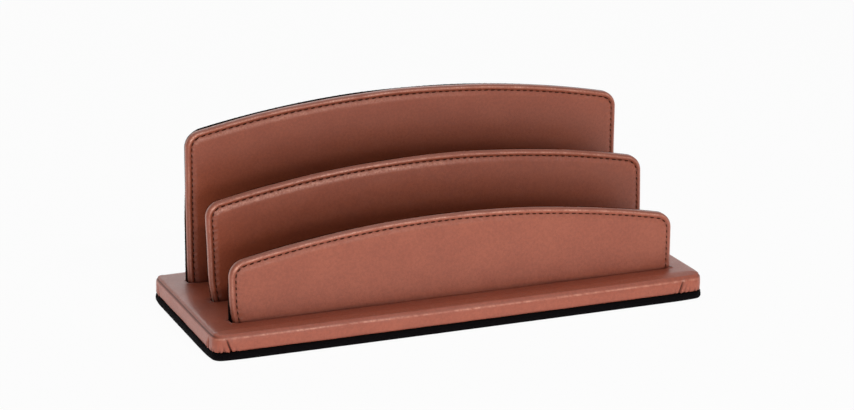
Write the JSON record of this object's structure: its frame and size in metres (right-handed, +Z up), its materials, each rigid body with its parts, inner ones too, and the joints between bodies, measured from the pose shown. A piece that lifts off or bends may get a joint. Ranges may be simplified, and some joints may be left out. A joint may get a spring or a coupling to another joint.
{
  "type": "letter sorter",
  "caption": "Desk letter sorter: a flat leather-covered base on a black velveteen pad, with upright arched dividers of rising height that hold letters between them.",
  "frame": {"origin": "middle of the underside, where the pad rests on the desk", "axes": "+X along the width to the right as seen from the front, +Y from the front to the back, +Z up"},
  "size_m": [0.2932, 0.1172, 0.1159],
  "materials": {
    "leather": "smooth brown leather, softly glossy, fine grain",
    "velveteen": "matte black velveteen",
    "lining": "matte black velveteen lining",
    "thread": "dark brown sewing thread",
    "core_board": "raw fibreboard",
    "divider_board": "raw hardboard",
    "pad_board": "grey bookbinding board",
    "padding": "thin felt padding"
  },
  "bodies": {
    "root": {"base_board": "core_board", "base_leather": "leather", "base_pad_board": "pad_board", "base_pad_velveteen": "velveteen", "rear_board": "divider_board", "rear_padding": "padding", "rear_leather": "leather", "rear_lining": "lining", "rear_stitching": "thread", "middle_board": "divider_board", "middle_padding": "padding", "middle_leather": "leather", "middle_lining": "lining", "middle_stitching": "thread", "front_board": "divider_board", "front_padding": "padding", "front_leather": "leather", "front_lining": "lining", "front_stitching": "thread"}
  },
  "joints": []
}
